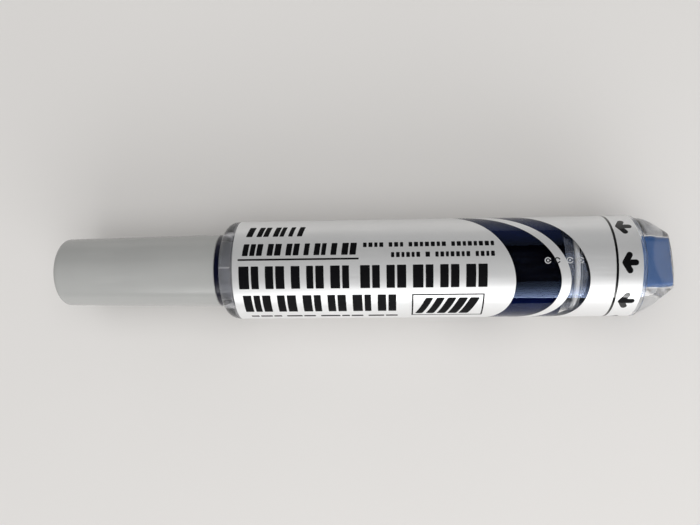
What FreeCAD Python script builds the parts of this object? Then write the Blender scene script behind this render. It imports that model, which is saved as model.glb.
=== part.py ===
import FreeCAD, Part
import os
import re
import Sketcher

# Pump-action whiteboard marker, lying on its side with its cap on.
#
# Every piece is drawn in one shared frame. A station is a distance along the marker, in
# millimetres, from the closed end of its cap towards its pump button, and a radius is measured
# from the marker's axis. Each piece is then placed so that the marker lies along X, with its
# middle over the origin, its button towards +X, and its barrel resting on Z = 0.

DIMENSIONS = {
    # Barrel: a clear tube with a rounded front shoulder, cored out round the sleeve that holds
    # the front section, and a thin lip at the rear
    "barrel_front": 34.0,
    "barrel_rear": 115.0,
    "barrel_radius": 10.0,
    "barrel_bore": 8.8,
    "shoulder_round": 2.8,
    "front_wall_end": 36.9,
    "sleeve_end": 40.0,
    "sleeve_radius": 7.0,
    "pocket_end": 36.2,
    "pocket_bore": 5.8,
    "pocket_radius": 7.0,
    "lip_start": 106.5,
    "lip_bore": 9.56,
    # Printed film in a shallow recess of the barrel
    "label_front": 37.3,
    "label_rear": 114.2,
    "label_thickness": 0.07,
    # Cap
    "cap_length": 33.0,
    "cap_end_radius": 6.93,
    "cap_rim_radius": 7.41,
    "cap_end_round": 0.9,
    "cap_rim_round": 0.25,
    "cap_bore": 6.4,
    "cap_bore_end": 18.6,
    "cap_inner_bore": 5.6,
    "cap_inner_bore_end": 18.0,
    "cap_floor": 1.3,
    # Soft cup inside the cap
    "cup_floor": 2.1,
    "cup_length": 15.6,
    "cup_radius": 4.7,
    "cup_bore": 3.78,
    # Front section: nose, cone, neck, flange and the spigot that enters the barrel
    "nose_front": 12.8,
    "nose_rear": 16.0,
    "nose_radius": 3.7,
    "nose_chamfer": 0.4,
    "neck_front": 20.0,
    "neck_radius": 6.3,
    "neck_groove": 23.2,
    "neck_groove_width": 0.8,
    "neck_groove_radius": 5.7,
    "flange_radius": 7.32,
    "spigot_rear": 41.0,
    "spigot_radius": 5.2,
    "front_cavity": 19.0,
    "front_bore": 4.4,
    # Nib and what feeds it
    "nib_tip": 7.0,
    "nib_taper_end": 10.4,
    "nib_rear": 31.0,
    "nib_radius": 2.2,
    "nib_tip_radius": 1.05,
    "nib_tip_round": 0.95,
    "collector_front": 19.3,
    "collector_rear": 30.7,
    "collector_radius": 4.35,
    "collector_core": 3.1,
    "collector_bore": 2.25,
    "collector_slot": 0.45,
    "collector_pitch": 0.95,
    "collector_slots": 11,
    "collector_feed_width": 0.6,
    "wick_rear": 35.4,
    # Valve
    "housing_front": 35.5,
    "housing_rear": 46.4,
    "housing_radius": 4.35,
    "housing_bore": 3.3,
    "housing_wall": 0.9,
    "outlet_radius": 1.5,
    "valve_face": 42.0,
    "valve_head": 1.0,
    "valve_head_radius": 2.6,
    "valve_nose": 1.2,
    "valve_nose_radius": 1.3,
    "stem_radius": 0.9,
    "stem_rear": 46.0,
    "seat_rear": 43.2,
    "seat_bore": 1.4,
    "guide_rear": 45.2,
    "guide_disc": 1.0,
    "guide_skirt_bore": 2.7,
    "guide_hole": 0.96,
    "port_radius": 0.45,
    "port_circle": 1.85,
    "port_count": 4,
    "valve_spring_radius": 1.75,
    "valve_spring_wire": 0.2,
    "valve_spring_pitch": 0.82,
    # Ink chamber and the plug behind it
    "bulkhead_front": 100.4,
    "bulkhead_rear": 104.0,
    "bulkhead_groove": 102.0,
    "bulkhead_groove_width": 1.4,
    "bulkhead_groove_radius": 7.58,
    "check_hole": 1.2,
    "check_recess": 3.2,
    "check_recess_depth": 1.0,
    "check_disc_radius": 3.0,
    "check_disc": 0.9,
    "check_stem": 1.15,
    "check_bulb_radius": 1.7,
    "air_hole": 0.4,
    "air_circle": 2.2,
    # Pump cylinder, piston and stop ring
    "cylinder_flange": 1.4,
    "cylinder_rear": 110.2,
    "cylinder_bore": 5.6,
    "cylinder_radius": 6.6,
    "stop_front": 109.5,
    "stop_seat": 5.95,
    "stop_bore": 4.2,
    "vent_station": 107.2,
    "vent_radius": 0.35,
    "piston_front": 107.9,
    "piston_rear": 109.4,
    "piston_radius": 5.3,
    "piston_groove": 108.2,
    "piston_groove_width": 0.9,
    "piston_groove_radius": 4.7,
    "rod_radius": 3.0,
    "disc_front": 113.6,
    "disc_rear": 114.5,
    "disc_radius": 8.3,
    "post_radius": 2.6,
    "post_rear": 118.6,
    "pump_spring_radius": 7.45,
    "pump_spring_wire": 0.3,
    "pump_spring_pitch": 1.45,
    # Button: a hollow knob, a cone with a crowned end, cut by four flats
    "skirt_front": 110.0,
    "button_radius": 9.5,
    "button_bore": 8.45,
    "cone_front": 117.2,
    "cone_rear": 121.2,
    "cone_end_radius": 7.4,
    "button_crown": 1.0,
    "flat_distance": 5.4,
    "flat_angle": 38.4,
    "flat_count": 4,
    "button_roll": 10.5,
    "snap_front": 112.9,
    "snap_rear": 113.5,
    "snap_bore": 8.15,
    "socket_bore": 2.68,
    "socket_radius": 3.7,
    "socket_front": 115.3,
    "socket_rear": 118.8,
    "ceiling_station": 119.6,
    "ceiling_radius": 4.5,
    "cavity_front": 115.0,
    "cavity_radius": 7.9,
    # Gaps between pieces, and how far a cutting outline runs past what it cuts
    "clearance": 0.05,
    "close_gap": 0.02,
    "overrun": 1.0,
    # Rings of round section: station of the middle, radius of the middle circle, section radius
    "grip_ring_station": 23.6,
    "grip_ring_circle": 6.05,
    "grip_ring_section": 0.33,
    "front_seal_station": 38.4,
    "front_seal_circle": 5.71,
    "front_seal_section": 0.49,
    "bulkhead_seal_station": 102.7,
    "bulkhead_seal_circle": 8.19,
    "bulkhead_seal_section": 0.59,
    "piston_seal_station": 108.65,
    "piston_seal_circle": 5.13,
    "piston_seal_section": 0.42,
}

AXIS_GEOMETRY = -1
NORMAL_GEOMETRY = -2
TOLERANCE = 1e-4

doc = FreeCAD.newDocument("marker")
sheet = doc.addObject("Spreadsheet::Sheet", "Dimensions")
for row, (alias, value) in enumerate(DIMENSIONS.items(), start=1):
    sheet.set(f"A{row}", alias)
    sheet.set(f"B{row}", str(value))
    sheet.setAlias(f"B{row}", alias)
doc.recompute()

pieces = []


def bound(expression):
    """The expression with each dimension's name turned into a reference to its cell."""
    def reference(match):
        word = match.group()
        return f"Dimensions.{word}" if word in DIMENSIONS else word
    return re.sub(r"[a-z][a-z0-9_]*", reference, str(expression))


def number(expression):
    """The value of an expression, in millimetres."""
    value = sheet.evalExpression(bound(expression))
    return float(getattr(value, "Value", value))


def place(piece, label, roll=None):
    """Lay a piece in the marker's frame and give it its name."""
    piece.Label = label
    if roll:
        piece.Placement.Rotation = FreeCAD.Rotation(FreeCAD.Vector(-1, 0, 0), number(roll))
        piece.setExpression("Placement.Rotation.Angle", bound(roll) + " * 1 deg")
    piece.setExpression("Placement.Base.x", bound("-(cone_rear + button_crown) / 2"))
    piece.setExpression("Placement.Base.z", bound("barrel_radius"))
    pieces.append(piece)


def origin_feature(body, role):
    return next(item for item in body.Origin.OriginFeatures if item.Role == role)


def sketch_on(body, name, role):
    sketch = body.newObject("Sketcher::SketchObject", name)
    sketch.AttachmentSupport = [(origin_feature(body, role), "")]
    sketch.MapMode = "FlatFace"
    return sketch


def fix_point(sketch, edge, end, across, up):
    """Dimension one end of an edge from the sketch's origin, or tie it to the sketch's axes."""
    if number(up) == 0:
        sketch.addConstraint(Sketcher.Constraint("PointOnObject", edge, end, AXIS_GEOMETRY))
    else:
        index = sketch.addConstraint(
            Sketcher.Constraint("DistanceY", AXIS_GEOMETRY, 1, edge, end, number(up)))
        sketch.setExpression(f"Constraints[{index}]", bound(up))
    if number(across) == 0:
        sketch.addConstraint(Sketcher.Constraint("PointOnObject", edge, end, NORMAL_GEOMETRY))
    else:
        index = sketch.addConstraint(
            Sketcher.Constraint("DistanceX", AXIS_GEOMETRY, 1, edge, end, number(across)))
        sketch.setExpression(f"Constraints[{index}]", bound(across))


def draw_circle(sketch, across, up, radius):
    """A circle with its centre and radius dimensioned."""
    centre = FreeCAD.Vector(number(across), number(up), 0)
    sketch.addGeometry(Part.Circle(centre, FreeCAD.Vector(0, 0, 1), number(radius)))
    fix_point(sketch, 0, 3, across, up)
    index = sketch.addConstraint(Sketcher.Constraint("Radius", 0, number(radius)))
    sketch.setExpression(f"Constraints[{index}]", bound(radius))


def arc_edge(start, finish, radius):
    """An arc between two points that bulges away from the marker's axis, drawn backwards."""
    middle = (start + finish) / 2
    chord = finish - start
    rise = (radius ** 2 - (chord.Length / 2) ** 2) ** 0.5
    inward = FreeCAD.Vector(chord.y, -chord.x, 0).normalize()
    centre = middle + inward * rise
    top = centre - inward * radius
    return Part.Arc(finish, top, start)


def draw_outline(sketch, outline):
    """A closed outline of (across, up) points. A third value is the radius of the arc that
    leads to the point."""
    points = [FreeCAD.Vector(number(item[0]), number(item[1]), 0) for item in outline]
    arcs = {}
    for i, item in enumerate(outline):
        start = points[i - 1]
        if len(item) == 3:
            arcs[i] = item[2]
            sketch.addGeometry(arc_edge(start, points[i], number(item[2])))
        else:
            sketch.addGeometry(Part.LineSegment(start, points[i]))

    def ends(i):
        """Sketcher's numbers for the start and finish of edge i. Arcs run the other way."""
        return (2, 1) if i in arcs else (1, 2)

    for i in range(len(outline)):
        following = (i + 1) % len(outline)
        sketch.addConstraint(
            Sketcher.Constraint("Coincident", i, ends(i)[1], following, ends(following)[0]))
    for i, item in enumerate(outline):
        fix_point(sketch, i, ends(i)[1], item[0], item[1])
    for i, radius in arcs.items():
        index = sketch.addConstraint(Sketcher.Constraint("Radius", i, number(radius)))
        sketch.setExpression(f"Constraints[{index}]", bound(radius))


def lathe(label, outline, roll=None):
    """A round piece: the outline of one half, as (station, radius) points, turned about the axis."""
    body = doc.addObject("PartDesign::Body", label)
    sketch = sketch_on(body, f"{label}_outline", "XZ_Plane")
    draw_outline(sketch, outline)
    turned = body.newObject("PartDesign::Revolution", f"{label}_turned")
    turned.Profile = sketch
    turned.ReferenceAxis = (sketch, ["H_Axis"])
    turned.Angle = 360
    place(body, label, roll)
    doc.recompute()
    return body


def tube(label, front, rear, bore, radius):
    return lathe(label, [(front, bore), (front, radius), (rear, radius), (rear, bore)])


def round_edge(body, station, radius, size):
    """Round the circular edge that lies at a station and a radius."""
    x, r = number(station), number(radius)
    base = body.Tip
    names = []
    for i, edge in enumerate(base.Shape.Edges, start=1):
        curve = edge.Curve
        if isinstance(curve, Part.Circle) and abs(curve.Radius - r) < TOLERANCE:
            if abs(curve.Center.x - x) < TOLERANCE:
                names.append(f"Edge{i}")
    fillet = body.newObject("PartDesign::Fillet", f"{body.Name}_round")
    fillet.Base = (base, names)
    fillet.Radius = number(size)
    fillet.setExpression("Radius", bound(size))
    doc.recompute()


def groove(body, front, width, floor):
    """Cut a square groove round the outside of a round piece."""
    sketch = sketch_on(body, f"{body.Name}_groove_outline", "XZ_Plane")
    rear = f"{front} + {width}"
    outside = "barrel_radius + overrun"
    draw_outline(sketch, [(front, floor), (front, outside), (rear, outside), (rear, floor)])
    cut = body.newObject("PartDesign::Groove", f"{body.Name}_groove")
    cut.Profile = sketch
    cut.ReferenceAxis = (sketch, ["H_Axis"])
    cut.Angle = 360
    doc.recompute()
    return cut


def holes(body, radius, circle, count):
    """Bore a ring of holes through a piece, along the marker's axis."""
    sketch = sketch_on(body, f"{body.Name}_hole_outline", "YZ_Plane")
    draw_circle(sketch, 0, circle, radius)
    bore = body.newObject("PartDesign::Pocket", f"{body.Name}_hole")
    bore.Profile = sketch
    bore.Type = "ThroughAll"
    bore.Midplane = True
    ring = body.newObject("PartDesign::PolarPattern", f"{body.Name}_holes")
    ring.Originals = [bore]
    ring.Axis = (origin_feature(body, "X_Axis"), [""])
    ring.Angle = 360
    ring.Occurrences = int(number(count))
    ring.setExpression("Occurrences", bound(count))
    body.Tip = ring
    doc.recompute()


def ring(label, station, circle, section):
    """A ring of round section about the marker's axis."""
    torus = doc.addObject("Part::Torus", label)
    torus.setExpression("Radius1", bound(circle))
    torus.setExpression("Radius2", bound(section))
    torus.Placement.Rotation = FreeCAD.Rotation(FreeCAD.Vector(0, 1, 0), 90)
    place(torus, label)
    torus.setExpression(
        "Placement.Base.x", bound(f"{station} - (cone_rear + button_crown) / 2"))
    doc.recompute()


def coil(label, front, rear, circle, wire, pitch):
    """A compression spring between two faces: round wire wound about the marker's axis."""
    end_gap = "2 * clearance"
    first = f"{front} + {wire} + {end_gap}"
    body = doc.addObject("PartDesign::Body", label)
    sketch = sketch_on(body, f"{label}_wire", "XZ_Plane")
    draw_circle(sketch, first, circle, wire)
    helix = body.newObject("PartDesign::AdditiveHelix", f"{label}_wound")
    helix.Profile = sketch
    helix.ReferenceAxis = (sketch, ["H_Axis"])
    helix.Mode = "pitch-height-angle"
    helix.setExpression("Pitch", bound(pitch))
    helix.setExpression("Height", bound(f"{rear} - ({front}) - 2 * ({wire} + {end_gap})"))
    place(body, label)
    doc.recompute()


# ---- Cap ------------------------------------------------------------------------------------

cap = lathe("cap_shell", [
    (0, 0),
    (0, "cap_end_radius"),
    ("cap_length", "cap_rim_radius"),
    ("cap_length", "cap_bore"),
    ("cap_bore_end", "cap_bore"),
    ("cap_inner_bore_end", "cap_inner_bore"),
    ("cap_floor", "cap_inner_bore"),
    ("cap_floor", 0),
])
round_edge(cap, 0, "cap_end_radius", "cap_end_round")
round_edge(cap, "cap_length", "cap_rim_radius", "cap_rim_round")

lathe("cap_inner_seal", [
    ("cap_floor", 0),
    ("cap_floor", "cap_inner_bore"),
    ("cup_floor", "cap_inner_bore"),
    ("cup_floor", "cup_radius"),
    ("cup_length", "cup_radius"),
    ("cup_length", "cup_bore"),
    ("cup_floor", "cup_bore"),
    ("cup_floor", 0),
])

# ---- Front section and nib ------------------------------------------------------------------

front_section = lathe("front_section", [
    ("nose_front", "collector_bore"),
    ("nose_front", "nose_radius - nose_chamfer"),
    ("nose_front + nose_chamfer", "nose_radius"),
    ("nose_rear", "nose_radius"),
    ("neck_front", "neck_radius"),
    ("cap_length", "neck_radius"),
    ("cap_length", "flange_radius"),
    ("barrel_front", "flange_radius"),
    ("barrel_front", "spigot_radius"),
    ("spigot_rear", "spigot_radius"),
    ("spigot_rear", "front_bore"),
    ("front_cavity", "front_bore"),
    ("front_cavity", "collector_bore"),
])
groove(front_section, "neck_groove", "neck_groove_width", "neck_groove_radius")
ring("cap_grip_ring", "grip_ring_station", "grip_ring_circle", "grip_ring_section")

nib = lathe("nib", [
    ("nib_tip", 0),
    ("nib_tip", "nib_tip_radius"),
    ("nib_taper_end", "nib_radius"),
    ("nib_rear", "nib_radius"),
    ("nib_rear", 0),
])
round_edge(nib, "nib_tip", "nib_tip_radius", "nib_tip_round")

collector = tube("ink_collector", "collector_front", "collector_rear",
                 "collector_bore", "collector_radius")
first_slot = groove(collector, "collector_front + collector_slot", "collector_slot",
                    "collector_core")
slots = collector.newObject("PartDesign::LinearPattern", "ink_collector_slots")
slots.Originals = [first_slot]
slots.Direction = (origin_feature(collector, "X_Axis"), [""])
slots.Length = number("collector_pitch * (collector_slots - 1)")
slots.setExpression("Length", bound("collector_pitch * (collector_slots - 1)"))
slots.Occurrences = int(number("collector_slots"))
slots.setExpression("Occurrences", bound("collector_slots"))
collector.Tip = slots
doc.recompute()

feed_outline = sketch_on(collector, "ink_collector_feed_outline", "XY_Plane")
draw_outline(feed_outline, [
    ("collector_front - overrun", "collector_core - collector_feed_width / 2"),
    ("collector_rear + overrun", "collector_core - collector_feed_width / 2"),
    ("collector_rear + overrun", "collector_radius + overrun"),
    ("collector_front - overrun", "collector_radius + overrun"),
])
feed = collector.newObject("PartDesign::Pocket", "ink_collector_feed")
feed.Profile = feed_outline
feed.Type = "Length"
feed.Midplane = True
feed.Length = number("collector_feed_width")
feed.setExpression("Length", bound("collector_feed_width"))
doc.recompute()

lathe("relay_wick", [
    ("nib_rear", 0),
    ("nib_rear", "collector_radius"),
    ("wick_rear", "collector_radius"),
    ("wick_rear", 0),
])

# ---- Valve ----------------------------------------------------------------------------------

lathe("valve_housing", [
    ("housing_front", "outlet_radius"),
    ("housing_front", "housing_radius"),
    ("housing_rear", "housing_radius"),
    ("housing_rear", "housing_bore"),
    ("housing_front + housing_wall", "housing_bore"),
    ("housing_front + housing_wall", "outlet_radius"),
])
tube("valve_seat", "valve_face", "seat_rear", "seat_bore", "housing_bore")
lathe("valve_stem", [
    ("valve_face - valve_head - valve_nose", 0),
    ("valve_face - valve_head - valve_nose", "valve_nose_radius"),
    ("valve_face - valve_head", "valve_nose_radius"),
    ("valve_face - valve_head", "valve_head_radius"),
    ("valve_face - close_gap", "valve_head_radius"),
    ("valve_face - close_gap", "stem_radius"),
    ("stem_rear", "stem_radius"),
    ("stem_rear", 0),
])
coil("valve_spring", "housing_front + housing_wall", "valve_face - valve_head",
     "valve_spring_radius", "valve_spring_wire", "valve_spring_pitch")
guide = lathe("valve_guide", [
    ("guide_rear - guide_disc", "guide_hole"),
    ("guide_rear - guide_disc", "guide_skirt_bore"),
    ("seat_rear", "guide_skirt_bore"),
    ("seat_rear", "housing_bore"),
    ("guide_rear", "housing_bore"),
    ("guide_rear", "guide_hole"),
])
holes(guide, "port_radius", "port_circle", "port_count")

# ---- Barrel, label and ink ------------------------------------------------------------------

label_recess = "barrel_radius - label_thickness"
seal_groove_front = "front_seal_station - front_seal_section - 2 * clearance"
seal_groove_rear = "front_seal_station + front_seal_section + 2 * clearance"
seal_groove_radius = "front_seal_circle + front_seal_section + close_gap"
barrel = lathe("barrel", [
    ("barrel_front", "spigot_radius"),
    ("barrel_front", "pocket_bore"),
    ("pocket_end", "pocket_bore"),
    ("pocket_end", "pocket_radius"),
    ("barrel_front", "pocket_radius"),
    ("barrel_front", "barrel_radius"),
    ("label_front", "barrel_radius"),
    ("label_front", label_recess),
    ("label_rear", label_recess),
    ("label_rear", "barrel_radius"),
    ("barrel_rear", "barrel_radius"),
    ("barrel_rear", "lip_bore"),
    ("lip_start", "lip_bore"),
    ("lip_start", "barrel_bore"),
    ("front_wall_end", "barrel_bore"),
    ("front_wall_end", "sleeve_radius"),
    ("sleeve_end", "sleeve_radius"),
    ("sleeve_end", "spigot_radius"),
    (seal_groove_rear, "spigot_radius"),
    (seal_groove_rear, seal_groove_radius),
    (seal_groove_front, seal_groove_radius),
    (seal_groove_front, "spigot_radius"),
])
round_edge(barrel, "barrel_front", "barrel_radius", "shoulder_round")
tube("label_film", "label_front", "label_rear", label_recess, "barrel_radius")
ring("front_seal", "front_seal_station", "front_seal_circle", "front_seal_section")

check_space = "check_disc_radius + 4 * clearance"
check_depth = "bulkhead_front - check_disc - 4 * clearance"
lathe("ink_charge", [
    ("front_wall_end + clearance", "sleeve_radius + clearance"),
    ("front_wall_end + clearance", "barrel_bore - clearance"),
    ("bulkhead_front - clearance", "barrel_bore - clearance"),
    ("bulkhead_front - clearance", check_space),
    (check_depth, check_space),
    (check_depth, 0),
    ("housing_rear + clearance", 0),
    ("housing_rear + clearance", "housing_radius + clearance"),
    ("spigot_rear + clearance", "housing_radius + clearance"),
    ("spigot_rear + clearance", "spigot_radius + clearance"),
    ("sleeve_end + clearance", "spigot_radius + clearance"),
    ("sleeve_end + clearance", "sleeve_radius + clearance"),
])

# ---- Bulkhead and check valve ---------------------------------------------------------------

bulkhead = lathe("chamber_bulkhead", [
    ("bulkhead_front", "check_hole"),
    ("bulkhead_front", "barrel_bore"),
    ("bulkhead_rear", "barrel_bore"),
    ("bulkhead_rear", "check_recess"),
    ("bulkhead_rear - check_recess_depth", "check_recess"),
    ("bulkhead_rear - check_recess_depth", "check_hole"),
])
groove(bulkhead, "bulkhead_groove", "bulkhead_groove_width", "bulkhead_groove_radius")
holes(bulkhead, "air_hole", "air_circle", "port_count")
ring("bulkhead_seal", "bulkhead_seal_station", "bulkhead_seal_circle", "bulkhead_seal_section")
lathe("check_valve", [
    ("bulkhead_front - check_disc", 0),
    ("bulkhead_front - check_disc", "check_stem"),
    ("bulkhead_front - check_disc / 2", "check_disc_radius"),
    ("bulkhead_front", "check_disc_radius"),
    ("bulkhead_front", "check_stem"),
    ("bulkhead_rear - check_recess_depth", "check_stem"),
    ("bulkhead_rear - check_recess_depth", "check_bulb_radius"),
    ("bulkhead_rear - clearance", "check_stem"),
    ("bulkhead_rear - clearance", 0),
])

# ---- Pump -----------------------------------------------------------------------------------

cylinder_step = "bulkhead_rear + cylinder_flange"
cylinder = lathe("pump_cylinder", [
    ("bulkhead_rear", "cylinder_bore"),
    ("bulkhead_rear", "barrel_bore"),
    (cylinder_step, "barrel_bore"),
    (cylinder_step, "cylinder_radius"),
    ("cylinder_rear", "cylinder_radius"),
    ("cylinder_rear", "stop_seat"),
    ("stop_front", "stop_seat"),
    ("stop_front", "cylinder_bore"),
])
vent_outline = sketch_on(cylinder, "pump_cylinder_vent_outline", "XY_Plane")
draw_circle(vent_outline, "vent_station", 0, "vent_radius")
vent = cylinder.newObject("PartDesign::Pocket", "pump_cylinder_vent")
vent.Profile = vent_outline
vent.Type = "ThroughAll"
vent.Midplane = True
doc.recompute()

coil("pump_spring", cylinder_step, "disc_front",
     "pump_spring_radius", "pump_spring_wire", "pump_spring_pitch")
piston = lathe("pump_piston", [
    ("piston_front", 0),
    ("piston_front", "piston_radius"),
    ("piston_rear", "piston_radius"),
    ("piston_rear", "rod_radius"),
    ("disc_front", "rod_radius"),
    ("disc_front", "disc_radius"),
    ("disc_rear", "disc_radius"),
    ("disc_rear", "post_radius"),
    ("post_rear", "post_radius"),
    ("post_rear", 0),
])
groove(piston, "piston_groove", "piston_groove_width", "piston_groove_radius")
ring("piston_seal", "piston_seal_station", "piston_seal_circle", "piston_seal_section")
tube("stop_ring", "stop_front", "cylinder_rear", "stop_bore", "stop_seat")

button = lathe("pump_button", [
    ("skirt_front", "button_bore"),
    ("skirt_front", "button_radius"),
    ("cone_front", "button_radius"),
    ("cone_rear", "cone_end_radius"),
    ("cone_rear + button_crown", 0,
     "(cone_end_radius * cone_end_radius + button_crown * button_crown) / (2 * button_crown)"),
    ("socket_rear", 0),
    ("socket_rear", "socket_bore"),
    ("socket_front", "socket_bore"),
    ("socket_front", "socket_radius"),
    ("ceiling_station", "socket_radius"),
    ("ceiling_station", "ceiling_radius"),
    ("cavity_front", "cavity_radius"),
    ("disc_rear + 2 * clearance", "button_bore"),
    ("snap_rear", "button_bore"),
    ("snap_rear", "snap_bore"),
    ("snap_front", "snap_bore"),
    ("snap_front", "button_bore"),
], roll="button_roll")
flat_outline = sketch_on(button, "pump_button_flat_outline", "XZ_Plane")
past_end = "cone_rear + button_crown + overrun"
above = "barrel_radius + overrun"
draw_outline(flat_outline, [
    (past_end, "flat_distance - (button_crown + overrun) * tan(flat_angle * 1 deg)"),
    (past_end, above),
    (f"cone_rear - ({above} - flat_distance) / tan(flat_angle * 1 deg)", above),
])
flat = button.newObject("PartDesign::Pocket", "pump_button_flat")
flat.Profile = flat_outline
flat.Type = "ThroughAll"
flat.Midplane = True
flats = button.newObject("PartDesign::PolarPattern", "pump_button_flats")
flats.Originals = [flat]
flats.Axis = (origin_feature(button, "X_Axis"), [""])
flats.Angle = 360
flats.Occurrences = int(number("flat_count"))
flats.setExpression("Occurrences", bound("flat_count"))
button.Tip = flats
doc.recompute()

# ---- Check and export -----------------------------------------------------------------------

failed = [item.Name for item in doc.Objects if {"Invalid", "Error"} & set(item.State)]
if failed:
    raise RuntimeError(f"these objects failed: {failed}")
for piece in pieces:
    if piece.Shape.isNull() or not piece.Shape.isValid() or len(piece.Shape.Solids) != 1:
        raise RuntimeError(f"{piece.Label} is not one valid solid")

os.makedirs("parts", exist_ok=True)
for piece in pieces:
    piece.Shape.exportStep(f"parts/{piece.Label}.step")
    box = piece.Shape.BoundBox
    print(f"{piece.Label:18s} x {box.XMin:7.2f} {box.XMax:7.2f}  r {box.YMax:6.3f}"
          f"  z {box.ZMin:6.2f} {box.ZMax:6.2f}  volume {piece.Shape.Volume:9.2f}")
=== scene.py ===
"""Pump-action whiteboard marker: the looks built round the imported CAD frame.

A station is a distance in millimetres along the marker from the closed end of its cap, and a
radius is measured from the marker's axis. On the barrel, an arc is a distance in millimetres
round its surface from the line that faces straight up.
"""

import math

import bmesh
import bpy
import numpy as np
from mathutils import Matrix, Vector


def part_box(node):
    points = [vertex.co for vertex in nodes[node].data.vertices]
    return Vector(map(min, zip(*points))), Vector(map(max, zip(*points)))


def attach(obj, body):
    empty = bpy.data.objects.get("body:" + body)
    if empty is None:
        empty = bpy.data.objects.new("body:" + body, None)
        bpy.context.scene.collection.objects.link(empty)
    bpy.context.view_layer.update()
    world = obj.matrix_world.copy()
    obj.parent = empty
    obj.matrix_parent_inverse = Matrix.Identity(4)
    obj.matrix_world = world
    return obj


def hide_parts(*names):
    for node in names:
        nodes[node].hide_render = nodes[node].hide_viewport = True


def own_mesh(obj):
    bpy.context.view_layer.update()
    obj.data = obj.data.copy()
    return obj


MM = 0.001
SEGMENTS = 192
BARREL_SEGMENTS = 256
SHARP_ANGLE = math.radians(38)

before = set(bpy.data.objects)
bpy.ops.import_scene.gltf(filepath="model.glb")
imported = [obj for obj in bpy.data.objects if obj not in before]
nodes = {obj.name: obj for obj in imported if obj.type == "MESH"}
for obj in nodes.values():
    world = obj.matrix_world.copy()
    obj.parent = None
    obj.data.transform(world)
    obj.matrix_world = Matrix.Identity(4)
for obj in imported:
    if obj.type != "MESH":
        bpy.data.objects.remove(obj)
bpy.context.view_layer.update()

CAP_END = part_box("cap_shell")[0].x
BARREL_LOW, BARREL_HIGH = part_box("barrel")
AXIS_Z = (BARREL_LOW.z + BARREL_HIGH.z) / 2
BARREL_RADIUS = (BARREL_HIGH.z - BARREL_LOW.z) / 2 / MM


def station_of(x):
    return (x - CAP_END) / MM


def low(node):
    """The station of a CAD node's end nearer the cap."""
    return station_of(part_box(node)[0].x)


def high(node):
    """The station of a CAD node's end nearer the button."""
    return station_of(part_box(node)[1].x)


# ---- Node materials -----------------------------------------------------------------------------


class Material:
    """A node material in the making, with a Principled shader already in place."""

    def __init__(self, name, **values):
        self.material = bpy.data.materials.new(name)
        self.material.use_nodes = True
        self.tree = self.material.node_tree
        self.shader = self.tree.nodes["Principled BSDF"]
        self.output = self.tree.nodes["Material Output"]
        for socket, value in values.items():
            self.shader.inputs[socket.replace("_", " ")].default_value = value

    def node(self, kind, **settings):
        made = self.tree.nodes.new(kind)
        for key, value in settings.items():
            if hasattr(made, key):
                setattr(made, key, value)
            else:
                made.inputs[key.replace("_", " ")].default_value = value
        return made

    def link(self, source, target):
        self.tree.links.new(source, target)

    def place(self, scale=(1, 1, 1)):
        """Object coordinates in metres, stretched by scale."""
        where = self.node("ShaderNodeTexCoord")
        mapping = self.node("ShaderNodeMapping", Scale=scale)
        self.link(where.outputs["Object"], mapping.inputs["Vector"])
        return mapping.outputs["Vector"]

    def noise(self, scale, detail=3.0, stretch=(1, 1, 1)):
        made = self.node("ShaderNodeTexNoise", Scale=scale, Detail=detail)
        self.link(self.place(stretch), made.inputs["Vector"])
        return made.outputs["Fac"]

    def spread(self, source, start, finish, low_edge=0.3, high_edge=0.7):
        """A 0 to 1 pattern turned into a value between start and finish."""
        made = self.node("ShaderNodeMapRange", From_Min=low_edge, From_Max=high_edge)
        made.inputs["To Min"].default_value = start
        made.inputs["To Max"].default_value = finish
        self.link(source, made.inputs["Value"])
        return made.outputs["Result"]

    def blend(self, factor, first, second):
        made = self.node("ShaderNodeMix", data_type="RGBA")
        colours = [s for s in made.inputs if s.type == "RGBA"]
        self.link(factor, made.inputs[0])
        for socket, colour in zip(colours, (first, second)):
            if isinstance(colour, tuple):
                socket.default_value = (*colour, 1)
            else:
                self.link(colour, socket)
        return next(s for s in made.outputs if s.type == "RGBA")

    def colour(self, source):
        self.link(source, self.shader.inputs["Base Color"])

    def rough(self, source):
        self.link(source, self.shader.inputs["Roughness"])

    def bump(self, source, distance, strength=1.0):
        """Height in metres from a 0 to 1 pattern."""
        made = self.node("ShaderNodeBump", Strength=strength, Distance=distance)
        self.link(source, made.inputs["Height"])
        if self.shader.inputs["Normal"].is_linked:
            self.link(self.shader.inputs["Normal"].links[0].from_socket, made.inputs["Normal"])
        self.link(made.outputs["Normal"], self.shader.inputs["Normal"])


def worn_plastic(name, base, edge, rough=0.3, grain=9000.0, bump=0.0000008, **values):
    """Moulded plastic: faint colour drift, a fine skin, and rubbed, paler patches."""
    made = Material(name, **values)
    drift = made.spread(made.noise(60.0), 0.0, 1.0)
    shade = made.blend(drift, base, tuple(0.93 * c for c in base))
    rubs = made.spread(made.noise(300.0, 6.0, (0.15, 1, 1)), 0.0, 0.3, 0.55, 0.8)
    made.colour(made.blend(rubs, shade, edge))
    made.rough(made.spread(made.noise(700.0, 4.0), rough * 0.82, rough * 1.25))
    made.bump(made.noise(grain, 2.0), bump)
    return made.material


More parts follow.
